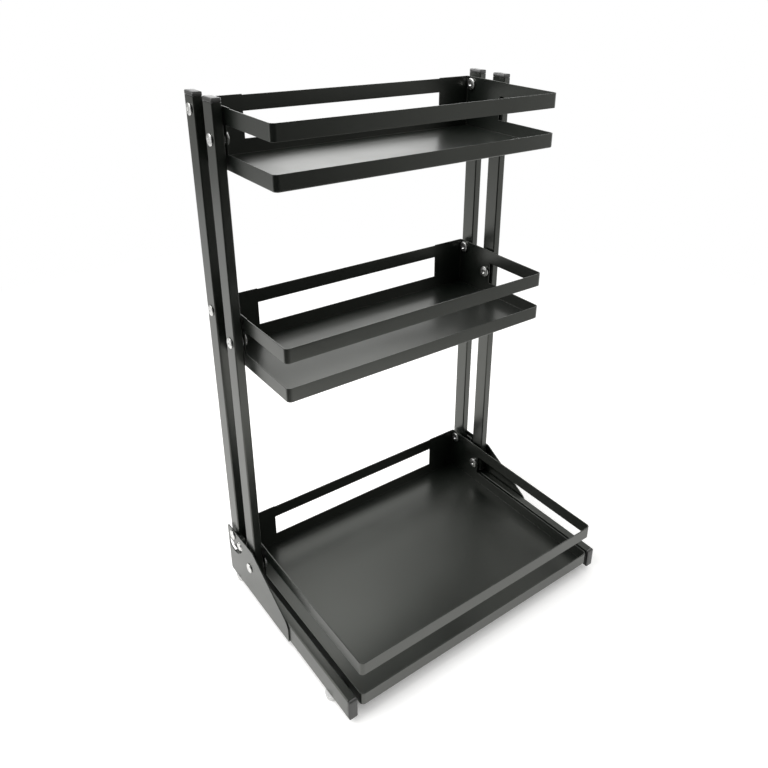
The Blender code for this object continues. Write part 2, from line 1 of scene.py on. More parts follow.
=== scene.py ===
"""Folding three-tier storage organizer, dressed for a studio picture.

Each piece is a surface worked out over two parameters, such as the way round a tray and the way up
its section, and takes the place of the frame's plain piece of the same name. Lengths are in metres.
"""

import json
import math

import bpy
import numpy as np
from bpy.props import FloatProperty, FloatVectorProperty, PointerProperty
from bpy.types import Operator, Panel, PropertyGroup
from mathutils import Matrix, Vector
from mathutils.geometry import delaunay_2d_cdt

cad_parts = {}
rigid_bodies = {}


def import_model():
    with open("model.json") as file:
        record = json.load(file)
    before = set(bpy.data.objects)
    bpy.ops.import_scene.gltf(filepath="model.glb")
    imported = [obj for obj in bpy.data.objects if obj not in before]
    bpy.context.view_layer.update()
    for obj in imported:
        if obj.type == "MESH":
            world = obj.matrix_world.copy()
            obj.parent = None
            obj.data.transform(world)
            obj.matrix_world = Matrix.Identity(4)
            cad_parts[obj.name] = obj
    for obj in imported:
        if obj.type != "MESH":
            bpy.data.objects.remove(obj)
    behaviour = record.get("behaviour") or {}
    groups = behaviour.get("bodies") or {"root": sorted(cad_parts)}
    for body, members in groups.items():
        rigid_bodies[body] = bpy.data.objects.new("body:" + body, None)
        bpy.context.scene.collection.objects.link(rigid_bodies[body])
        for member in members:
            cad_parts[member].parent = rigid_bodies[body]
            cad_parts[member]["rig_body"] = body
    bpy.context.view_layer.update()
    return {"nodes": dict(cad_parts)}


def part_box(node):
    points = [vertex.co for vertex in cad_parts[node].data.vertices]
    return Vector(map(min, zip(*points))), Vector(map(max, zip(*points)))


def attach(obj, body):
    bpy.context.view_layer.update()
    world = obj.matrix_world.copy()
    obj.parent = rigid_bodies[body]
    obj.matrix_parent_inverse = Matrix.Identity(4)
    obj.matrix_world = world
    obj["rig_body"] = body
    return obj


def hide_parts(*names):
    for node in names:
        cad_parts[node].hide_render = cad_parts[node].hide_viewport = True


bl_info = {
    "name": "Folding Organizer",
    "version": (1, 0, 0),
    "blender": (4, 5, 0),
    "location": "View3D > Sidebar > Organizer",
    "description": "Builds the visible pieces of a folding three-tier organizer and its studio",
    "category": "Object",
}

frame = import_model()

SIDES = {"left": -1, "right": 1}
TIERS = ("bottom", "middle", "top")
ROWS = ("rear", "front")
CORNERS = [(side, row) for side in SIDES for row in ROWS]
MILLIMETRE = 0.001
RIGHT_ANGLE = math.pi / 2
FULL_TURN = 2 * math.pi

# Points nearer than this are one, and so are grid lines nearer than the gap
WELD = 1e-6
LINE_GAP = 5 * WELD
OUTLINE_WELD = 1e-7
# Asks the triangulation for the inside of the outlines alone
INSIDE = 1

RUNNING_GAP = 0.3 * MILLIMETRE
SHARP_EDGE = math.radians(50)

TRAY_CORNER_STEPS = 14
TUBE_CORNER_STEPS = 8
PLATE_CORNER_STEPS = 12
HOLE_STEPS = 24
SLOT_OUTER_STEPS = 30
SLOT_STEPS = 18
TURNED_STEPS = 48
STUD_STEPS = 64
CARD_STEPS = 24

# Lines of the square patch round a hole, as shares of its reach
PATCH_LINES = np.linspace(-1, 1, 5)
# Ways up below nothing, which shrink a tray's plan to rings on its floor
FLOOR_RINGS = np.linspace(-0.9, -0.1, 9)
# Rounded foot of a head, as shares of its rounding: across and up
HEAD_FOOT = np.array([[0.0, 0.35], [-0.25, 0.08], [-0.6, 0.0]])
# Top of a plug: inset as a share of its rim's rounding, and drop as a share of its crown
PLUG_CROWN = ((1.8, 0.45), (2.9, 0.1), (4, 0.0))

# World directions of a piece's own axes, by where its third axis points
AXES = {
    "z": ((1, 0, 0), (0, 1, 0), (0, 0, 1)),
    "-z": ((1, 0, 0), (0, -1, 0), (0, 0, -1)),
    "x": ((0, 1, 0), (0, 0, 1), (1, 0, 0)),
    "-x": ((0, 1, 0), (0, 0, -1), (-1, 0, 0)),
    "y": ((1, 0, 0), (0, 0, -1), (0, 1, 0)),
    "-y": ((1, 0, 0), (0, 0, 1), (0, -1, 0)),
}


def length(name, description, millimetres):
    """A length that a user may change, given in millimetres."""
    return FloatProperty(name=name, description=description, default=millimetres * MILLIMETRE, min=0.0,
                         precision=5, unit="LENGTH", subtype="DISTANCE")


def share(name, description, default):
    """A plain factor between nothing and one."""
    return FloatProperty(name=name, description=description, default=default, min=0.0, max=1.0,
                         subtype="FACTOR")


def colour(name, description, default):
    """A colour without alpha."""
    return FloatVectorProperty(name=name, description=description, default=default, size=3, min=0.0, max=1.0,
                               subtype="COLOR")


def degrees(name, description, default):
    """An angle, given in degrees."""
    return FloatProperty(name=name, description=description, default=math.radians(default), subtype="ANGLE")


def watts(name, description, default):
    """The power of a lamp."""
    return FloatProperty(name=name, description=description, default=default, unit="POWER")


class OrganizerTrays(PropertyGroup):
    """Sizes of the sheet trays."""

    sheet: length("Sheet", "Thickness of the tray sheet", 1.2)
    front_radius: length("Front Corners", "Radius of the front corners in plan", 5)
    rear_radius: length("Rear Corners", "Radius of the rear corners in plan", 3)
    bend_radius: length("Bend", "Outer radius between floor and walls", 1.4)
    pan_height: length("Pan", "Height of the wall round the floor", 15.9)
    window_height: length("Window", "Open height between pan and guard rail", 27.2)
    plate_width: length("Plate Width", "Width of a corner plate along the rear wall", 45)
    plate_depth: length("Plate Depth", "Depth of a corner plate along a side wall", 58.5)
    plate_rise: length("Plate Rise", "Step of a corner plate above the guard rail", 0.8)
    plate_lap: length("Plate Lap", "How far that step runs along the guard rail", 9.5)
    softening: length("Edges", "Rounding of the painted sheet edges", 0.3)


class OrganizerTubes(PropertyGroup):
    """Sizes of the flat tubes and their plugs."""

    edge_radius: length("Tube Edges", "Outer radius along the tube", 1.5)
    wall: length("Tube Wall", "Wall thickness of the tube", 1)
    hole_radius: length("Rivet Holes", "Radius of the holes for the rivets", 3.3)
    hole_reach: length("Hole Patch", "Half the side of the patch round a hole", 4.5)
    plug_gap: length("Plug Gap", "Gap between a tube's end and its plug", 0.3)
    plug_stem: length("Plug Stem", "Gap between tube and plug stem, with the wall", 1.3)
    plug_edge: length("Plug Edge", "Rounding of a plug's rim", 0.9)
    plug_crown: length("Plug Crown", "Rise of a plug's middle above its rim", 0.25)
    softening: length("Cut Edges", "Rounding of the cut tube ends", 0.15)


class OrganizerBrackets(PropertyGroup):
    """Sizes of the side brackets and of the lugs."""

    front_height: length("Front Height", "Height of the bracket at its front end", 23.7)
    past_upright: length("Past Upright", "How far the level top passes the front upright", 0.7)
    nose_radius: length("Nose", "Radius of the front upper corner", 13)
    bend_radius: length("Top Bend", "Radius where the top edge begins to fall", 10)
    rear_radius: length("Rear Corners", "Radius of the rear corners", 3)
    slot_radius: length("Slot Radius", "Radius that the slot follows about the base rivet", 18.5)
    slot_width: length("Slot Width", "Width of the slot", 12.5)
    slot_start: degrees("Slot Start", "Angle of the slot's front end", 200)
    slot_sweep: degrees("Slot Sweep", "Angle that the slot spans", 90)
    hole_radius: length("Holes", "Radius of the rivet holes", 3.3)
    lug_radius: length("Lug Corners", "Radius of the lug's front corners", 4)
    softening: length("Edges", "Rounding of the painted edges", 0.35)


class OrganizerFasteners(PropertyGroup):
    """Sizes of rivets, spacers and stop studs."""

    head_radius: length("Outer Head", "Radius of a rivet's outer head", 6)
    head_height: length("Outer Head Height", "Height of a rivet's outer head", 2)
    inner_radius: length("Inner Head", "Radius of a rivet's inner head", 6.7)
    inner_height: length("Inner Head Height", "Height of a rivet's inner head", 2.9)
    rim: length("Head Rim", "Height of an outer head's rim", 0.6)
    inner_rim: length("Inner Rim", "Height of an inner head's rim", 1.7)
    dimple_radius: length("Dimple", "Radius of the dimple in an outer head", 2.1)
    dimple_depth: length("Dimple Depth", "Depth of the dimple in an outer head", 0.9)
    well_radius: length("Well", "Radius of the hollow in an inner head", 2.7)
    well_depth: length("Well Depth", "Depth of the hollow in an inner head", 1.5)
    shank_radius: length("Shank", "Radius of the shanks", 3)
    stud_head: length("Stud Head", "Radius of a stop stud's head", 5)
    flange_radius: length("Spacer Flange", "Radius of a spacer's flange", 6.5)
    flange: length("Flange Thickness", "Thickness of a spacer's flange", 0.95)
    barrel_radius: length("Spacer Barrel", "Radius of a spacer's barrel", 4.5)
    foot_radius: length("Foot", "Radius of a clear foot", 8.5)


class OrganizerFinishes(PropertyGroup):
    """Colours and gloss of the finishes."""

    paint: colour("Paint", "Satin black paint of the steel", (0.0042, 0.0058, 0.0046))
    paint_roughness: share("Paint Roughness", "Roughness of the paint", 0.3)
    paint_index: FloatProperty(name="Paint Index", default=1.78, min=1.0, max=3.0,
                               description="Refractive index of the paint, which sets its gloss")
    paint_gloss: colour("Paint Gloss", "Tint of the paint's reflections", (0.98, 1.0, 0.93))
    plastic: colour("Plug Plastic", "Black plastic of the plugs", (0.032, 0.0325, 0.031))
    plastic_roughness: share("Plastic Roughness", "Roughness of the plastic", 0.31)
    zinc: colour("Zinc", "Bright zinc of rivets and spacers", (0.78, 0.78, 0.765))
    zinc_roughness: share("Zinc Roughness", "Roughness of the zinc", 0.32)
    # This white stands in for the light that comes through the clear rubber: painted light.
    rubber: colour("Foot Rubber", "Clear rubber of the feet", (0.96, 0.96, 0.95))


class OrganizerStudio(PropertyGroup):
    """Floor, lamps and camera."""

    floor: colour("Floor", "Colour of the floor", (0.9, 0.895, 0.88))
    # The floor's glow fades within this reach of a piece: a painted shade on the floor under and beside the
    # organizer.
    floor_glow: share("Floor Glow", "White that the open floor adds for the camera and in gloss", 0.42)
    painted_shade_reach: length("Glow Reach", "How near a piece must be to take that white from the floor", 60)
    dark_card: colour("Dark Card", "Tone of the card round the front", (0.02, 0.02, 0.02))
    grey_card: colour("Grey Cards", "Tone of the paler cards", (0.42, 0.42, 0.41))
    side_card: colour("Side Card", "Tone of the card between the two", (0.16, 0.16, 0.155))
    sky: share("Sky", "Strength of the even light from all round", 0.5)
    key_power: watts("Key", "Power of the key lamp", 46.0)
    back_power: watts("Back", "Power of the low lamp behind", 6.5)
    upper_power: watts("Upper Back", "Power of the lamp behind the top tray", 0.6)
    fill_power: watts("Fill", "Power of the fill lamp", 14.0)
    place: FloatVectorProperty(name="Camera", description="Place of the camera",
                               default=(-0.45712, -0.58843, 0.70759), subtype="TRANSLATION", unit="LENGTH")
    turn: FloatVectorProperty(name="Camera Turn", description="Rotation of the camera",
                              default=(math.radians(65.1502), math.radians(-1.4949), math.radians(-38.5236)),
                              subtype="EULER")
    lens: FloatProperty(name="Lens", description="Focal length in millimetres", default=35.2867)
    shift: FloatVectorProperty(name="Shift", description="Shift of the picture",
                               default=(-0.06711, -0.09006), size=2)


class OrganizerSettings(PropertyGroup):
    """All sizes and colours that a user may change."""

    trays: PointerProperty(type=OrganizerTrays)
    tubes: PointerProperty(type=OrganizerTubes)
    brackets: PointerProperty(type=OrganizerBrackets)
    fasteners: PointerProperty(type=OrganizerFasteners)
    finishes: PointerProperty(type=OrganizerFinishes)
    studio: PointerProperty(type=OrganizerStudio)


def box(node):
    """Lowest and highest corner of a frame node as arrays."""
    low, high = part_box(node)
    return np.array(low), np.array(high)


def middle(node):
    """Middle of a frame node's box."""
    low, high = box(node)
    return (low + high) / 2


def rounded_loop(half_u, half_v, radii, steps):
    """Outline of a rectangle about its middle.

    Each quarter is its corner's centre plus the radius times (cos a, sin a), with a running through a
    right angle, counterclockwise from the corner at plus u and plus v."""
    radii = np.broadcast_to(np.asarray(radii, float), (4,))[:, None]
    angle = (np.arange(4)[:, None] + np.linspace(0, 1, steps + 1)) * RIGHT_ANGLE
    side_u = np.array([1, -1, -1, 1])[:, None]
    side_v = np.array([1, 1, -1, -1])[:, None]
    u = side_u * (half_u - radii) + radii * np.cos(angle)
    v = side_v * (half_v - radii) + radii * np.sin(angle)
    normal = np.stack([np.cos(angle), np.sin(angle)], -1)
    return np.stack([u, v], -1).reshape(-1, 2), normal.reshape(-1, 2)


def closed_path(loop):
    """The loop with its first point repeated, and the distance travelled to each point."""
    path = np.concatenate([loop, loop[:1]])
    travel = np.concatenate([[0.0], np.cumsum(np.linalg.norm(np.diff(path, axis=0), axis=1))])
    return path, travel


def follow(travel, values, at):
    """Values along a path, straight between its points, at given distances."""
    return np.stack([np.interp(at, travel, values[:, k]) for k in range(values.shape[1])], -1)


def weld(points, faces):
    """Merge points that fall together, and keep the faces on the merged ones."""
    _, first, inverse = np.unique(np.round(points / WELD).astype(np.int64), axis=0, return_index=True,
                                  return_inverse=True)
    return points[first], inverse.reshape(-1)[faces]


def clear_lines(lines):
    """Grid lines in rising order, less those that all but repeat the one before."""
    lines = np.unique(lines)
    return lines[np.concatenate([[True], np.diff(lines) > LINE_GAP])]


def grid_cells(index):
    """Quads between the rows and columns of a grid of point numbers."""
    return np.stack([index[:-1, :-1], index[1:, :-1], index[1:, 1:], index[:-1, 1:]], -1).reshape(-1, 4)


def hole_patch(hole, reach, start):
    """Points on a hole's circle and on the square round it, and the quads between, counted from start."""
    u, v, radius = hole
    side = PATCH_LINES[:-1]
    one = np.ones(len(side))
    square = np.concatenate([np.stack([one, side], -1), np.stack([-side, one], -1),
                             np.stack([-one, -side], -1), np.stack([side, -one], -1)])
    circle = square / np.linalg.norm(square, axis=1)[:, None]
    inner = start + np.arange(len(square))
    outer = inner + len(square)
    quads = np.stack([inner, outer, np.roll(outer, -1), np.roll(inner, -1)], -1)
    return np.concatenate([circle * radius, square * reach]) + (u, v), quads


def sheet_grid(u_lines, v_lines, place, windows=(), holes=(), reach=0.0, filled=False):
    """Surface place(u, v) over a grid of lines, less windows and round holes, its first row filled if asked.

    Cells whose middle lies in a window (u0, u1, v0, v1) are left out. Round each hole (u, v, radius) a
    square of half side reach gives way to quads ruled between the square's edge and the circle."""
    for u, v, _ in holes:
        u_lines = np.append(u_lines, u + reach * PATCH_LINES)
        v_lines = np.append(v_lines, v + reach * PATCH_LINES)
    for u0, u1, v0, v1 in windows:
        u_lines = np.append(u_lines, (u0, u1))
        v_lines = np.append(v_lines, (v0, v1))
    u, v = np.meshgrid(clear_lines(u_lines), clear_lines(v_lines), indexing="ij")
    flat = np.stack([u, v], -1).reshape(-1, 2)
    index = np.arange(len(flat)).reshape(u.shape)
    cells = grid_cells(index)
    centre = flat[cells].mean(1)
    wanted = np.ones(len(cells), bool)
    for u0, u1, v0, v1 in windows:
        wanted &= ~((centre[:, 0] > u0) & (centre[:, 0] < u1) & (centre[:, 1] > v0) & (centre[:, 1] < v1))
    for hole in holes:
        wanted &= np.abs(centre - hole[:2]).max(1) > reach
    cells = cells[wanted]
    for hole in holes:
        patch, quads = hole_patch(hole, reach, len(flat))
        flat = np.concatenate([flat, patch])
        cells = np.concatenate([cells, quads])
    first_row = index[:-1, 0][::-1]
    points, merged = weld(place(flat[:, 0], flat[:, 1]), np.concatenate([cells.ravel(), first_row]))
    faces = merged[:cells.size].reshape(-1, 4).tolist()
    if filled:
        faces.append(merged[cells.size:].tolist())
    return points, faces


def stack(rings, closed=False):
    """Faces of a surface through a stack of loops, each loop counterclockwise about the way up.

    The end loops are filled, or a closed stack joins its last loop to its first."""
    levels, around = rings.shape[:2]
    index = np.arange(levels * around).reshape(levels, around)
    if closed:
        index = np.concatenate([index, index[:1]])
    beside = np.roll(index, -1, axis=1)
    quads = np.stack([index[:-1], beside[:-1], beside[1:], index[1:]], -1).reshape(-1, 4)
    faces = quads.tolist()
    if not closed:
        faces += [index[0, ::-1].tolist(), index[-1].tolist()]
    return rings.reshape(-1, 3), faces


def turned(profile, steps=TURNED_STEPS):
    """Rings of a turned piece: each (radius, height) of the profile times the circle (cos a, sin a)."""
    profile = np.asarray(profile)
    angle = np.arange(steps) * FULL_TURN / steps
    x = profile[:, :1] * np.cos(angle)
    y = profile[:, :1] * np.sin(angle)
    z = np.broadcast_to(profile[:, 1:], x.shape)
    return np.stack([x, y, z], -1)


def placed(points, origin, axis):
    """Points carried from a piece's own axes to the world."""
    return points @ np.array(AXES[axis], float) + np.asarray(origin)


def across(node, side):
    """Distances of a node's inner and outer end from the middle plane."""
    low, high = box(node)
    return (low[0], high[0]) if SIDES[side] > 0 else (-high[0], -low[0])


def turned_outwards(node, side, profile, start, steps=TURNED_STEPS, closed=False):
    """Profile turned about a node's axis, its heights counted outwards from a distance off the middle."""
    points, faces = stack(turned(profile, steps), closed)
    sign = SIDES[side]
    origin = (sign * start, *middle(node)[1:])
    return placed(points, origin, "x" if sign > 0 else "-x"), faces


def filled_outline(outlines):
    """Triangles of a flat shape: the first outline is its edge, and the others are holes in it."""
    points = np.concatenate(outlines)
    rings = []
    start = 0
    for outline in outlines:
        rings.append(list(range(start, start + len(outline))))
        start += len(outline)
    corners, _, triangles, _, _, owners = delaunay_2d_cdt(points.tolist(), [], rings, INSIDE, OUTLINE_WELD)
    flat = np.array([tuple(corner) for corner in corners])
    faces = np.array([triangle for triangle, inside in zip(triangles, owners) if list(inside) == [0]])
    a, b, c = (flat[faces[:, k]] for k in range(3))
    turn = (b[:, 0] - a[:, 0]) * (c[:, 1] - a[:, 1]) - (b[:, 1] - a[:, 1]) * (c[:, 0] - a[:, 0])
    faces[turn < 0] = faces[turn < 0][:, ::-1]
    return flat, faces


def arc(radius, start, end, steps, centre=(0, 0)):
    """Points centre + radius (cos a, sin a) while a runs from start to end."""
    angle = np.linspace(start, end, steps + 1)
    return np.stack([centre[0] + radius * np.cos(angle), centre[1] + radius * np.sin(angle)], -1)


def round_corner(before, corner, after, radius):
    """Arc of a radius that touches both sides of a corner."""
    before, corner, after = (np.array(point, float) for point in (before, corner, after))
    back = (before - corner) / np.linalg.norm(before - corner)
    on = (after - corner) / np.linalg.norm(after - corner)
    half = math.acos(float(np.clip(back @ on, -1, 1))) / 2
    bisector = (back + on) / np.linalg.norm(back + on)
    centre = corner + bisector * radius / math.sin(half)
    start = corner + back * radius / math.tan(half) - centre
    end = corner + on * radius / math.tan(half) - centre
    first = math.atan2(start[1], start[0])
    sweep = (math.atan2(end[1], end[0]) - first + math.pi) % FULL_TURN - math.pi
    return arc(radius, first, first + sweep, PLATE_CORNER_STEPS, centre)


def rounded_outline(corners):
    """Outline through (u, v, radius) corners, each rounded by its radius."""
    pieces = []
    for k, (u, v, radius) in enumerate(corners):
        before = corners[k - 1][:2]
        after = corners[(k + 1) % len(corners)][:2]
        if radius:
            pieces.append(round_corner(before, (u, v), after, radius))
        else:
            pieces.append(np.array([[u, v]], float))
    return np.concatenate(pieces)


def link_object(name, data):
    """New object in the scene."""
    item = bpy.data.objects.new(name, data)
    bpy.context.scene.collection.objects.link(item)
    return item


def add_surface(name, points, faces, material):
    """New object in the scene with a surface of one material."""
    mesh = bpy.data.meshes.new(name)
    mesh.from_pydata(np.asarray(points, float), [], faces if isinstance(faces, list) else faces.tolist())
    mesh.materials.append(material)
    return link_object(name, mesh)


def add_piece(node, points, faces, finish, sheet=0.0, softening=0.0):
    """Link a surface as the piece that stands for a frame node, on that node's body."""
    piece = add_surface(f"{node}_surface", points, faces, FINISHES[finish])
    piece.data.shade_smooth()
    if sheet:
        solid = piece.modifiers.new("sheet", "SOLIDIFY")
        solid.thickness = sheet
        solid.offset = -1.0
        solid.use_even_offset = True
    if softening:
        soft = piece.modifiers.new("soft edges", "BEVEL")
        soft.width = softening
        soft.segments = 2
        soft.limit_method = "ANGLE"
        soft.angle_limit = SHARP_EDGE
    if sheet or softening:
        even = piece.modifiers.new("even shading", "WEIGHTED_NORMAL")
        even.weight = 100
    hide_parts(node)
    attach(piece, frame["nodes"][node]["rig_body"])


FINISHES = {}


def new_material(name):
    """New material, and its tree of nodes."""
    material = bpy.data.materials.new(name)
    material.use_nodes = True
    return material, material.node_tree


def new_finish(slot, name):
    """Nodes and shader of a new finish."""
    FINISHES[slot], tree = new_material(name)
    return tree, tree.nodes["Principled BSDF"]


def feed(tree, node, inputs):
    """Give a node its inputs: an output is linked, and anything else is set as the value."""
    for name, source in inputs.items():
        if isinstance(source, bpy.types.NodeSocket):
            tree.links.new(source, node.inputs[name])
        else:
            node.inputs[name].default_value = source


def add_node(tree, kind, inputs, **settings):
    """New node with its settings and its inputs."""
    node = tree.nodes.new(kind)
    for name, value in settings.items():
        setattr(node, name, value)
    feed(tree, node, inputs)
    return node


def noise(tree, scale, detail, roughness=0.5):
    """Noise over the piece's own coordinates."""
    place = add_node(tree, "ShaderNodeTexCoord", {})
    pattern = add_node(tree, "ShaderNodeTexNoise", {
        "Vector": place.outputs["Object"], "Scale": scale, "Detail": detail, "Roughness": roughness})
    return pattern.outputs["Fac"]


def spread(tree, factor, low, high, start=0.3, end=0.7):
    """Number that runs from low to high while a factor runs from start to end."""
    node = add_node(tree, "ShaderNodeMapRange", {
        "Value": factor, "From Min": start, "From Max": end, "To Min": low, "To Max": high})
    return node.outputs["Result"]


def combined(tree, operation, first, second):
    """Product, highest or the like of two numbers."""
    return add_node(tree, "ShaderNodeMath", {0: first, 1: second}, operation=operation).outputs[0]


def tint(tree, factor, low, high):
    """Colour that runs between two tones with a factor."""
    node = add_node(tree, "ShaderNodeMix", {0: factor, 6: (*low, 1), 7: (*high, 1)}, data_type="RGBA")
    return node.outputs[2]


def bump(tree, height, distance, strength, under=None):
    """Relief of a height pattern, on top of another relief."""
    node = add_node(tree, "ShaderNodeBump", {"Distance": distance, "Strength": strength, "Height": height})
    if under:
        feed(tree, node, {"Normal": under})
    return node.outputs["Normal"]


def scaled(tone, factor):
    """A colour made lighter or darker."""
    return tuple(min(channel * factor, 1) for channel in tone)


def cloud(tree, shader, pattern, tone, shades, level, drift):
    """Let a tone drift between two shades, and a roughness by two steps from its level, with a pattern."""
    clouds = spread(tree, pattern, 0, 1)
    feed(tree, shader, {
        "Base Color": tint(tree, clouds, scaled(tone, shades[0]), scaled(tone, shades[1])),
        "Roughness": spread(tree, clouds, level + drift[0], level + drift[1], 0, 1)})


def make_paint(finishes):
    """Satin powder paint: slow clouds of gloss, a fine pebble and slight waves in the sheet."""
    tree, shader = new_finish("black_paint", "satin_black_paint")
    cloud(tree, shader, noise(tree, scale=16, detail=4), finishes.paint, (0.85, 1.3),
          finishes.paint_roughness, (-0.02, 0.03))
    waves = bump(tree, noise(tree, scale=11, detail=0), distance=0.0006, strength=0.1)
    pebble = bump(tree, noise(tree, scale=260, detail=2), distance=0.00002, strength=0.3, under=waves)
    feed(tree, shader, {
        "IOR": finishes.paint_index, "Specular Tint": (*finishes.paint_gloss, 1), "Normal": pebble})


def make_plastic(finishes):
    """Moulded black plastic with a fine matt grain."""
    tree, shader = new_finish("black_plastic", "moulded_black_plastic")
    cloud(tree, shader, noise(tree, scale=60, detail=3), finishes.plastic, (0.9, 1.25),
          finishes.plastic_roughness, (-0.03, 0.04))
    grain = bump(tree, noise(tree, scale=900, detail=2), distance=0.00003, strength=0.3)
    feed(tree, shader, {"Normal": grain})


def make_zinc(finishes):
    """Bright zinc: faint clouds in the plating and tiny pits."""
    tree, shader = new_finish("zinc", "bright_zinc")
    cloud(tree, shader, noise(tree, scale=420, detail=4, roughness=0.6), finishes.zinc, (0.66, 1.12),
          finishes.zinc_roughness, (0.08, -0.04))
    pits = bump(tree, noise(tree, scale=1500, detail=2), distance=0.00002, strength=0.3)
    feed(tree, shader, {"Metallic": 1.0, "Normal": pits})


def make_rubber(finishes):
    """Clear rubber of the feet, with a faint haze, drawn as a mostly white body whose white is painted light
    for the light that comes through the clear rubber.
    """
    tree, shader = new_finish("clear_rubber", "clear_foot_rubber")
    tone = finishes.rubber
    feed(tree, shader, {
        # Painted light: little transmission and a white tone stand in for the light that comes through the
        # clear rubber.
        "Transmission Weight": 0.2,
        "IOR": 1.3,
        "Base Color": tint(tree, noise(tree, scale=120, detail=2), tone, scaled(tone, 1.04)),
        "Roughness": spread(tree, noise(tree, scale=300, detail=2), 0.1, 0.22)})


def tray_surface(node, trays, tubes):
    """Tray sheet over (way round the plan, way up the section).

    The plan is a rounded rectangle. The section starts on the floor, follows a quarter bend whose inset
    is bend (1 - sin a) and whose height is bend (1 - cos a), and goes up the wall. Below nothing, the way
    up shrinks the plan to rings on the floor. The windows and the step above the guard rail are left out
    of the grid, and the innermost ring is filled."""
    low, high = box(node)
    half = (high - low)[:2] / 2
    centre = middle(node)[:2]
    rear, front = trays.rear_radius, trays.front_radius
    steps = TRAY_CORNER_STEPS
    loop, normal = rounded_loop(half[0], half[1], (rear, rear, front, front), steps)
    path, travel = closed_path(loop)
    outward = np.concatenate([normal, normal[:1]])
    corner_end = [travel[k * (steps + 1) + steps] for k in range(4)]

    bend = trays.bend_radius
    angle = np.linspace(0, RIGHT_ANGLE, 8)
    band = 0.8 * MILLIMETRE
    full = high[2] - low[2]
    inset = np.concatenate([[bend + band], bend * (1 - np.sin(angle)), [0.0]])
    height = np.concatenate([[0.0], bend * (1 - np.cos(angle)), [full]])
    section = np.stack([inset, height], -1)
    rise = np.concatenate([[0.0], np.cumsum(np.linalg.norm(np.diff(section, axis=0), axis=1))])

    def wall(level):
        """Way up the section at which the wall has a height."""
        return rise[-2] + level - bend

    def place(u, v):
        """Plan point less the inset along its outward normal, at the section's height."""
        at = follow(rise, section, v)
        plan = follow(travel, path, u) - at[:, :1] * follow(travel, outward, u)
        shrunk = plan * (1 + np.minimum(v, 0))[:, None]
        return np.concatenate([shrunk + centre, low[2] + at[:, 1:]], 1)

    def round_front(y):
        """Ways round at which the left wall and then the right wall pass a depth."""
        return corner_end[1] + (high[1] - rear) - y, corner_end[3] + y - (low[1] + front)

    def on_rear(x):
        """Ways round at which the rear wall passes a width on the right and then on the left."""
        on_middle = corner_end[0] + (high[0] - rear)
        return on_middle - x, on_middle + x

    window = (wall(trays.pan_height), wall(trays.pan_height + trays.window_height))
    above_guard = (wall(full - trays.plate_rise), rise[-1] + WELD)
    plate_y = high[1] - trays.plate_depth
    plate_x = high[0] - trays.plate_width
    windows = [
        (*round_front(plate_y), *window),
        (*on_rear(plate_x), *window),
        (*round_front(plate_y - trays.plate_lap), *above_guard),
        (*on_rear(plate_x), *above_guard),
    ]
    tier = node.split("_")[0]
    holes = []
    for row in ROWS:
        pivot = middle(f"right_{tier}_{row}_rivet")
        holes += [(u, wall(pivot[2] - low[2]), tubes.hole_radius) for u in round_front(pivot[1])]
    v_lines = np.concatenate([FLOOR_RINGS, rise])
    return sheet_grid(travel, v_lines, place, windows, holes, tubes.hole_reach, filled=True)


def tube_surface(low, high, axis, tubes, hole_levels=()):
    """Flat tube over (way round its section, way along it), with round holes in its two wide faces."""
    centre = (low + high) / 2
    own = np.abs(np.array(AXES[axis])) @ ((high - low) / 2)
    steps = TUBE_CORNER_STEPS
    loop = rounded_loop(own[0], own[1], tubes.edge_radius, steps)[0]
    path, travel = closed_path(loop)
    span = own[1] - tubes.edge_radius
    faces_at = [travel[k * (steps + 1) + steps] + span for k in (1, 3)]

    def place(u, v):
        """Section point at a distance along the tube."""
        section = follow(travel, path, u)
        return placed(np.concatenate([section, v[:, None]], 1), centre, axis)

    holes = [(u, level, tubes.hole_radius) for u in faces_at for level in hole_levels]
    return sheet_grid(travel, np.array([-own[2], own[2]]), place, (), holes, tubes.hole_reach)


def plug_surface(node, axis, face, tubes):
    """End plug over (way round its section, way along it): a stem, a cap with a rounded rim, a low crown."""
    low, high = box(node)
    directions = np.array(AXES[axis], float)
    own = np.abs(directions) @ ((high - low) / 2)
    along = int(np.argmax(np.abs(directions[2])))
    origin = (low + high) / 2
    origin[along] = face
    outer, inner = (high, low) if directions[2][along] > 0 else (low, high)
    tip = abs(outer[along] - face)
    stem_end = abs(inner[along] - face)
    stem = tubes.plug_stem
    edge = min(tubes.plug_edge, tip * 0.6)
    crown = min(tubes.plug_crown, tip * 0.2)
    lip = 0.2 * MILLIMETRE
    least_corner = 0.4 * MILLIMETRE
    chamfer = (0.6 * MILLIMETRE, 1.2 * MILLIMETRE)
    angle = np.linspace(0, RIGHT_ANGLE, 7)
    levels = [(stem + chamfer[0], -stem_end), (stem, -stem_end + chamfer[1]), (stem, 0.0),
              (lip, 0.0), (0.0, lip), (0.0, tip - crown - edge)]
    levels += list(zip(edge * (1 - np.cos(angle)), tip - crown - edge * (1 - np.sin(angle))))
    levels += [(edge * inset, tip - crown * drop) for inset, drop in PLUG_CROWN]
    rings = []
    for inset, level in levels:
        corner = max(tubes.edge_radius - inset, least_corner)
        loop = rounded_loop(own[0] - inset, own[1] - inset, corner, TUBE_CORNER_STEPS)[0]
        rings.append(np.concatenate([loop, np.full((len(loop), 1), level)], 1))
    points, faces = stack(np.array(rings))
    return placed(points, origin, axis), faces


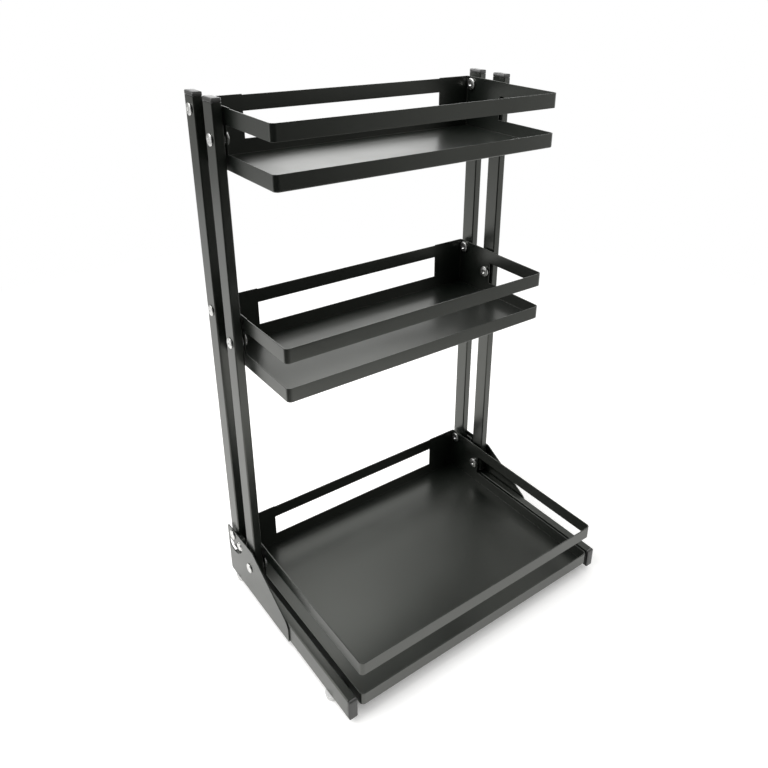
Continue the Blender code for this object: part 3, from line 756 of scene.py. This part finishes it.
def domed_head(radius, height, rim, hollow, depth, shape=1.0):
    """Profile of a head from its middle out to its rim: a hollow depth/2 (1 + cos), then an ellipse."""
    way_out = np.linspace(0.06, 1, 9)
    brim = rim + (height - rim) * math.sqrt(1 - (hollow / radius) ** 2)
    well = np.stack([hollow * way_out, brim - depth / 2 * (1 + np.cos(math.pi * way_out ** shape))], -1)
    angle = np.linspace(math.asin(hollow / radius), RIGHT_ANGLE, 14)[1:]
    crown = np.stack([radius * np.sin(angle), rim + (height - rim) * np.cos(angle)], -1)
    rounding = min(rim, 0.6 * MILLIMETRE)
    return np.concatenate([well, crown, (radius, 0) + rounding * HEAD_FOOT])


def outer_head(radius, fasteners):
    """Profile of a rivet's or a stud's dimpled outer head."""
    return domed_head(radius, fasteners.head_height, fasteners.rim, fasteners.dimple_radius,
                      fasteners.dimple_depth)


def rivet_surface(node, side, fasteners):
    """Rivet turned about its axis: dimpled outer head, shank and hollowed inner head."""
    inner, outer = across(node, side)
    seat = outer - fasteners.head_height
    grip = seat - inner - fasteners.inner_height
    inner_head = domed_head(fasteners.inner_radius, fasteners.inner_height, fasteners.inner_rim,
                            fasteners.well_radius, fasteners.well_depth, shape=2.2)
    inner_head[:, 1] = -grip - inner_head[:, 1]
    shank = [(fasteners.shank_radius, 0.0), (fasteners.shank_radius, -grip)]
    profile = np.concatenate([outer_head(fasteners.head_radius, fasteners), shank, inner_head[::-1]])[::-1]
    return turned_outwards(node, side, profile, seat)


def stud_surface(node, side, fasteners, brackets):
    """Stop stud turned about its axis: dimpled head, collar that fills the slot, shank and back head."""
    inner, outer = across(node, side)
    face = outer - fasteners.head_height
    back = inner - face
    lug_inner, lug_outer = across(f"{side}_stop_lug", side)
    lug_front = lug_outer + RUNNING_GAP - face
    lug_back = lug_inner - RUNNING_GAP - face
    collar = brackets.slot_width / 2 - RUNNING_GAP
    soft = 0.25 * MILLIMETRE
    head, shank = fasteners.stud_head, fasteners.shank_radius
    hub = 0.3 * MILLIMETRE
    body = [
        (collar - soft, 0.0), (collar - soft * 0.3, -soft * 0.3), (collar, -soft), (collar, lug_front),
        (shank, lug_front), (shank, lug_back), (head, lug_back), (head, back + soft), (head - soft, back),
        (hub, back)]
    profile = np.concatenate([outer_head(head, fasteners), body])[::-1]
    return turned_outwards(node, side, profile, face, STUD_STEPS)


def spacer_surface(node, side, fasteners):
    """Flanged spacer turned about its axis as a closed ring."""
    inner, outer = across(node, side)
    long = outer - inner
    bore = fasteners.shank_radius + RUNNING_GAP
    soft = 0.2 * MILLIMETRE
    flange, wide, barrel = fasteners.flange, fasteners.flange_radius, fasteners.barrel_radius
    profile = [
        (bore, 0.0), (wide - soft, 0.0), (wide - soft * 0.3, soft * 0.3), (wide, soft), (wide, flange - soft),
        (wide - soft * 0.3, flange - soft * 0.3), (wide - soft, flange), (barrel + soft, flange),
        (barrel, flange + soft), (barrel, long - soft), (barrel - soft, long), (bore, long)]
    return turned_outwards(node, side, profile, inner, closed=True)


def foot_surface(node, fasteners):
    """Clear foot turned about the vertical: a low disc that narrows downwards, with rounded edges."""
    low, high = box(node)
    tall = high[2] - low[2]
    radius = fasteners.foot_radius
    under = radius - 0.8 * MILLIMETRE
    lower_edge = 1.2 * MILLIMETRE
    upper_edge = 0.3 * MILLIMETRE
    hub = 0.5 * MILLIMETRE
    angle = np.linspace(0, RIGHT_ANGLE, 6)
    bottom = np.stack([under - lower_edge * (1 - np.sin(angle)), lower_edge * (1 - np.cos(angle))], -1)
    top = np.stack([radius - upper_edge * (1 - np.cos(angle)), tall - upper_edge * (1 - np.sin(angle))], -1)
    points, faces = stack(turned(np.concatenate([[(hub, 0.0)], bottom, top, [(hub, tall)]])))
    return placed(points, (*middle(node)[:2], low[2]), "z"), faces


def slot_outline(brackets, centre):
    """Arc slot about the base rivet: two concentric arcs closed by half circles."""
    radius, half = brackets.slot_radius, brackets.slot_width / 2
    first = brackets.slot_start
    last = first + brackets.slot_sweep
    front, rear = arc(radius, first, last, 1)
    outline = np.concatenate([
        arc(radius + half, first, last, SLOT_OUTER_STEPS),
        arc(half, last, last + math.pi, SLOT_STEPS, rear)[1:],
        arc(radius - half, last, first, SLOT_STEPS)[1:],
        arc(half, first + math.pi, first + FULL_TURN, SLOT_STEPS, front)[1:-1]])
    return outline + centre


def round_hole(brackets, node):
    """Outline of the hole for a rivet or a stud."""
    return arc(brackets.hole_radius, 0, FULL_TURN, HOLE_STEPS, middle(node)[1:])[:-1]


def add_plate(node, side, outlines, softening):
    """Add a painted flat plate in the side plane, its outer face on the node's and its sheet inwards."""
    inner, outer = across(node, side)
    flat, faces = filled_outline(outlines)
    points = np.stack([np.full(len(flat), SIDES[side] * outer), flat[:, 0], flat[:, 1]], -1)
    if SIDES[side] < 0:
        faces = faces[:, ::-1]
    add_piece(node, points, faces, "black_paint", outer - inner, softening)


class ORGANIZER_OT_finishes(Operator):
    """Make the paint, plastic, zinc and rubber"""

    bl_idname = "organizer.finishes"
    bl_label = "Finishes"

    def execute(self, context):
        finishes = context.scene.organizer.finishes
        for make in (make_paint, make_plastic, make_zinc, make_rubber):
            make(finishes)
        return {"FINISHED"}


class ORGANIZER_OT_trays(Operator):
    """Add the three sheet trays with their guard rails and corner plates"""

    bl_idname = "organizer.trays"
    bl_label = "Trays"

    def execute(self, context):
        trays = context.scene.organizer.trays
        for tier in TIERS:
            node = f"{tier}_tray"
            surface = tray_surface(node, trays, context.scene.organizer.tubes)
            add_piece(node, *surface, "black_paint", trays.sheet, trays.softening)
        return {"FINISHED"}


class ORGANIZER_OT_uprights(Operator):
    """Add the four uprights with their rivet holes"""

    bl_idname = "organizer.uprights"
    bl_label = "Uprights"

    def execute(self, context):
        tubes = context.scene.organizer.tubes
        for side, row in CORNERS:
            node = f"{side}_{row}_upright"
            centre_z = middle(node)[2]
            levels = [middle(f"{side}_{tier}_{row}_rivet")[2] - centre_z for tier in TIERS]
            surface = tube_surface(*box(node), "z", tubes, levels)
            add_piece(node, *surface, "black_paint", tubes.wall, tubes.softening)
        return {"FINISHED"}


class ORGANIZER_OT_foot_rails(Operator):
    """Add the two foot rails"""

    bl_idname = "organizer.foot_rails"
    bl_label = "Foot Rails"

    def execute(self, context):
        tubes = context.scene.organizer.tubes
        for side in SIDES:
            node = f"{side}_foot_rail"
            surface = tube_surface(*box(node), "-y", tubes)
            add_piece(node, *surface, "black_paint", tubes.wall, tubes.softening)
        return {"FINISHED"}


class ORGANIZER_OT_plugs(Operator):
    """Add the end plugs of the uprights and the foot rails"""

    bl_idname = "organizer.plugs"
    bl_label = "End Plugs"

    def execute(self, context):
        tubes = context.scene.organizer.tubes
        for side in SIDES:
            seats = {}
            for row in ROWS:
                name = f"{side}_{row}_upright"
                low, high = box(name)
                seats[f"{name}_top_plug"] = ("z", high[2] + tubes.plug_gap)
                seats[f"{name}_bottom_plug"] = ("-z", low[2] - tubes.plug_gap)
            low, high = box(f"{side}_foot_rail")
            seats[f"{side}_foot_rail_front_plug"] = ("-y", low[1] - tubes.plug_gap)
            seats[f"{side}_foot_rail_rear_plug"] = ("y", high[1] + tubes.plug_gap)
            for node, (axis, face) in seats.items():
                add_piece(node, *plug_surface(node, axis, face, tubes), "black_plastic")
        return {"FINISHED"}


class ORGANIZER_OT_brackets(Operator):
    """Add the two side brackets with their arc slots"""

    bl_idname = "organizer.brackets"
    bl_label = "Side Brackets"

    def execute(self, context):
        brackets = context.scene.organizer.brackets
        for side in SIDES:
            node = f"{side}_side_bracket"
            low, high = box(node)
            bend_y = box(f"{side}_front_upright")[0][1] - brackets.past_upright
            corners = [
                (high[1], low[2], brackets.rear_radius), (high[1], high[2], brackets.rear_radius),
                (bend_y, high[2], brackets.bend_radius),
                (low[1], low[2] + brackets.front_height, brackets.nose_radius), (low[1], low[2], 0.0)]
            pivot = middle(f"{side}_bottom_rear_rivet")[1:]
            holes = [round_hole(brackets, f"{side}_bottom_{row}_rivet") for row in ROWS]
            outlines = [rounded_outline(corners), slot_outline(brackets, pivot), *holes]
            add_plate(node, side, outlines, brackets.softening)
        return {"FINISHED"}


class ORGANIZER_OT_fasteners(Operator):
    """Add the rivets and the flanged spacers"""

    bl_idname = "organizer.fasteners"
    bl_label = "Rivets and Spacers"

    def execute(self, context):
        fasteners = context.scene.organizer.fasteners
        for side in SIDES:
            for tier in TIERS:
                for row in ROWS:
                    rivet = f"{side}_{tier}_{row}_rivet"
                    spacer = f"{side}_{tier}_{row}_spacer"
                    add_piece(rivet, *rivet_surface(rivet, side, fasteners), "zinc")
                    add_piece(spacer, *spacer_surface(spacer, side, fasteners), "zinc")
        return {"FINISHED"}


class ORGANIZER_OT_stops(Operator):
    """Add the stop lugs and the studs that run in the slots"""

    bl_idname = "organizer.stops"
    bl_label = "Stops"

    def execute(self, context):
        settings = context.scene.organizer
        brackets = settings.brackets
        for side in SIDES:
            lug = f"{side}_stop_lug"
            stud = f"{side}_stop_stud"
            low, high = box(lug)
            corners = [
                (high[1], low[2], 0.0), (high[1], high[2], 0.0),
                (low[1], high[2], brackets.lug_radius), (low[1], low[2], brackets.lug_radius)]
            outlines = [rounded_outline(corners), round_hole(brackets, stud)]
            add_plate(lug, side, outlines, brackets.softening)
            add_piece(stud, *stud_surface(stud, side, settings.fasteners, brackets), "zinc")
        return {"FINISHED"}


class ORGANIZER_OT_feet(Operator):
    """Add the four clear feet"""

    bl_idname = "organizer.feet"
    bl_label = "Feet"

    def execute(self, context):
        fasteners = context.scene.organizer.fasteners
        for side, row in CORNERS:
            node = f"{side}_{row}_foot"
            add_piece(node, *foot_surface(node, fasteners), "clear_rubber")
        return {"FINISHED"}


# Half the side of the floor, and how far out it starts and ends to turn plain white
FLOOR_REACH = 16.0
FLOOR_FADE = (0.5, 1.3)

# Radius, first and last angle in degrees, lower and upper edge, and tone of each card
CARDS = {
    "dark_card": (0.62, 165, 284, 0.0, 2.0, "dark_card"),
    "side_card": (0.62, 284, 300, 0.0, 2.0, "side_card"),
    "front_card": (0.62, 300, 332, 0.0, 2.0, "grey_card"),
    "rear_card": (1.9, 95, 130, 0.0, 1.3, "grey_card"),
    "high_card": (1.9, 15, 54, 1.1, 4.0, "grey_card"),
}

# Place, aim, width and power of each lamp, and whether the camera sees it
LAMPS = {
    "key_lamp": ((-1.5, 0.5, 2.2), (0, 0, 0.3), 1.8, "key_power", True),
    "back_lamp": ((1.0, 1.65, 0.6), (0, 0, 0.45), 1.2, "back_power", False),
    "upper_back_lamp": ((0.15, 0.36, 0.78), (0, 0.08, 0.53), 0.25, "upper_power", False),
    "fill_lamp": ((1.6, -1.6, 1.4), (0, 0, 0.3), 2.0, "fill_power", True),
}


def seen_directly(tree):
    """One for camera, glossy and transmission rays, which are to see plain white, and nothing for others."""
    path = add_node(tree, "ShaderNodeLightPath", {})
    either = combined(tree, "MAXIMUM", path.outputs["Is Camera Ray"], path.outputs["Is Glossy Ray"])
    return combined(tree, "MAXIMUM", either, path.outputs["Is Transmission Ray"])


def make_floor(studio):
    """Pale floor that takes the shadow, with a painted shade near the pieces where its added white glow
    fades, whiter in the open and plain white far out.
    """
    lines = np.linspace(-FLOOR_REACH, FLOOR_REACH, 9)
    x, y = np.meshgrid(lines, lines, indexing="ij")
    points = np.stack([x, y, np.zeros_like(x)], -1).reshape(-1, 3)
    cells = grid_cells(np.arange(len(points)).reshape(x.shape))
    material, tree = new_material("pale_floor")
    shader = tree.nodes["Principled BSDF"]
    feed(tree, shader, {"Base Color": (*studio.floor, 1), "Roughness": 0.9, "Specular IOR Level": 0.0})
    seen = seen_directly(tree)
    # Painted shade: ambient occlusion takes the floor's added white glow away where pieces are near,
    # darkening the floor under and beside them.
    near = add_node(tree, "ShaderNodeAmbientOcclusion", {"Distance": studio.painted_shade_reach}, samples=8)
    glow = spread(tree, near.outputs["AO"], 0, studio.floor_glow, start=0.05, end=0.6)
    lift = add_node(tree, "ShaderNodeEmission", {"Strength": combined(tree, "MULTIPLY", glow, seen)})
    lit = add_node(tree, "ShaderNodeAddShader", {0: shader.outputs[0], 1: lift.outputs[0]})
    place = add_node(tree, "ShaderNodeTexCoord", {})
    distance = add_node(tree, "ShaderNodeVectorMath", {0: place.outputs["Object"]}, operation="LENGTH")
    far = spread(tree, distance.outputs["Value"], 0, 1, *FLOOR_FADE)
    white = add_node(tree, "ShaderNodeEmission", {"Strength": 1.0})
    blend = add_node(tree, "ShaderNodeMixShader", {
        0: combined(tree, "MULTIPLY", far, seen), 1: lit.outputs[0], 2: white.outputs[0]})
    feed(tree, tree.nodes["Material Output"], {"Surface": blend.outputs[0]})
    floor = add_surface("studio_floor", points, cells, material)


def add_card(name, radius, start, end, low, high, tone):
    """Card bent round the organizer that shows in gloss alone: radius (cos a, sin a), from low to high."""
    rounds = arc(radius, math.radians(start), math.radians(end), CARD_STEPS)
    count = len(rounds)
    points = np.concatenate([np.column_stack([rounds, np.full(count, level)]) for level in (low, high)])
    cells = grid_cells(np.arange(2 * count).reshape(2, count).T)
    material, tree = new_material(name)
    glow = add_node(tree, "ShaderNodeEmission", {"Color": (*tone, 1), "Strength": 1.0})
    feed(tree, tree.nodes["Material Output"], {"Surface": glow.outputs[0]})
    card = add_surface(name, points, cells, material)
    for kind in ("camera", "diffuse", "transmission", "volume_scatter", "shadow"):
        setattr(card, "visible_" + kind, False)


def make_sky(studio):
    """Even light from all round, seen as plain white."""
    world = bpy.data.worlds.new("studio_sky")
    world.use_nodes = True
    bpy.context.scene.world = world
    tree = world.node_tree
    level = spread(tree, seen_directly(tree), studio.sky, 1.0, 0, 1)
    feed(tree, tree.nodes["Background"], {"Color": (1, 1, 1, 1), "Strength": level})


def add_lamp(name, place, aim, width, power, seen):
    """Square soft lamp at a place, turned to what it lights."""
    data = bpy.data.lights.new(name, "AREA")
    data.shape = "SQUARE"
    data.size = width
    data.energy = power
    lamp = link_object(name, data)
    lamp.visible_camera = seen
    lamp.location = place
    lamp.rotation_euler = (Vector(place) - Vector(aim)).to_track_quat("Z", "Y").to_euler()


def add_camera(studio):
    """Camera that looks as the photo's did."""
    data = bpy.data.cameras.new("studio_camera")
    data.sensor_width = 36
    data.lens = studio.lens
    data.shift_x, data.shift_y = studio.shift
    camera = link_object("studio_camera", data)
    camera.location = studio.place
    camera.rotation_euler = studio.turn
    bpy.context.scene.camera = camera


class ORGANIZER_OT_studio(Operator):
    """Add the floor, the sky, the lamps and the camera"""

    bl_idname = "organizer.studio"
    bl_label = "Studio"

    def execute(self, context):
        studio = context.scene.organizer.studio
        make_floor(studio)
        make_sky(studio)
        for name, (*card, tone) in CARDS.items():
            add_card(name, *card, getattr(studio, tone))
        for name, (place, aim, width, power, seen) in LAMPS.items():
            add_lamp(name, place, aim, width, getattr(studio, power), seen)
        add_camera(studio)
        context.scene.view_settings.view_transform = "Standard"
        return {"FINISHED"}


class ORGANIZER_PT_panel(Panel):
    """Steps that build the organizer, and its sizes"""

    bl_idname = "ORGANIZER_PT_panel"
    bl_label = "Folding Organizer"
    bl_space_type = "VIEW_3D"
    bl_region_type = "UI"
    bl_category = "Organizer"

    def draw(self, context):
        settings = context.scene.organizer
        column = self.layout.column(align=True)
        for operator in OPERATORS:
            column.operator(operator.bl_idname)
        for name in settings.__annotations__:
            group = getattr(settings, name)
            box_layout = self.layout.box()
            box_layout.label(text=name.capitalize())
            for key in group.__annotations__:
                box_layout.prop(group, key)


GROUPS = (OrganizerTrays, OrganizerTubes, OrganizerBrackets, OrganizerFasteners, OrganizerFinishes,
          OrganizerStudio, OrganizerSettings)
OPERATORS = (ORGANIZER_OT_finishes, ORGANIZER_OT_trays, ORGANIZER_OT_uprights, ORGANIZER_OT_foot_rails,
             ORGANIZER_OT_plugs, ORGANIZER_OT_brackets, ORGANIZER_OT_fasteners, ORGANIZER_OT_stops,
             ORGANIZER_OT_feet, ORGANIZER_OT_studio)


def register():
    """Add the settings, the operators and the panel."""
    for item in GROUPS + OPERATORS + (ORGANIZER_PT_panel,):
        bpy.utils.register_class(item)
    bpy.types.Scene.organizer = PointerProperty(type=OrganizerSettings)


def unregister():
    """Take them away again."""
    del bpy.types.Scene.organizer
    for item in reversed(GROUPS + OPERATORS + (ORGANIZER_PT_panel,)):
        bpy.utils.unregister_class(item)


def main():
    """Build every piece and the studio."""
    register()
    for old in list(bpy.data.lights) + list(bpy.data.cameras):
        bpy.data.batch_remove([old])
    for operator in OPERATORS:
        group, name = operator.bl_idname.split(".")
        getattr(getattr(bpy.ops, group), name)()
    bpy.context.view_layer.update()


if __name__ == "__main__":
    main()
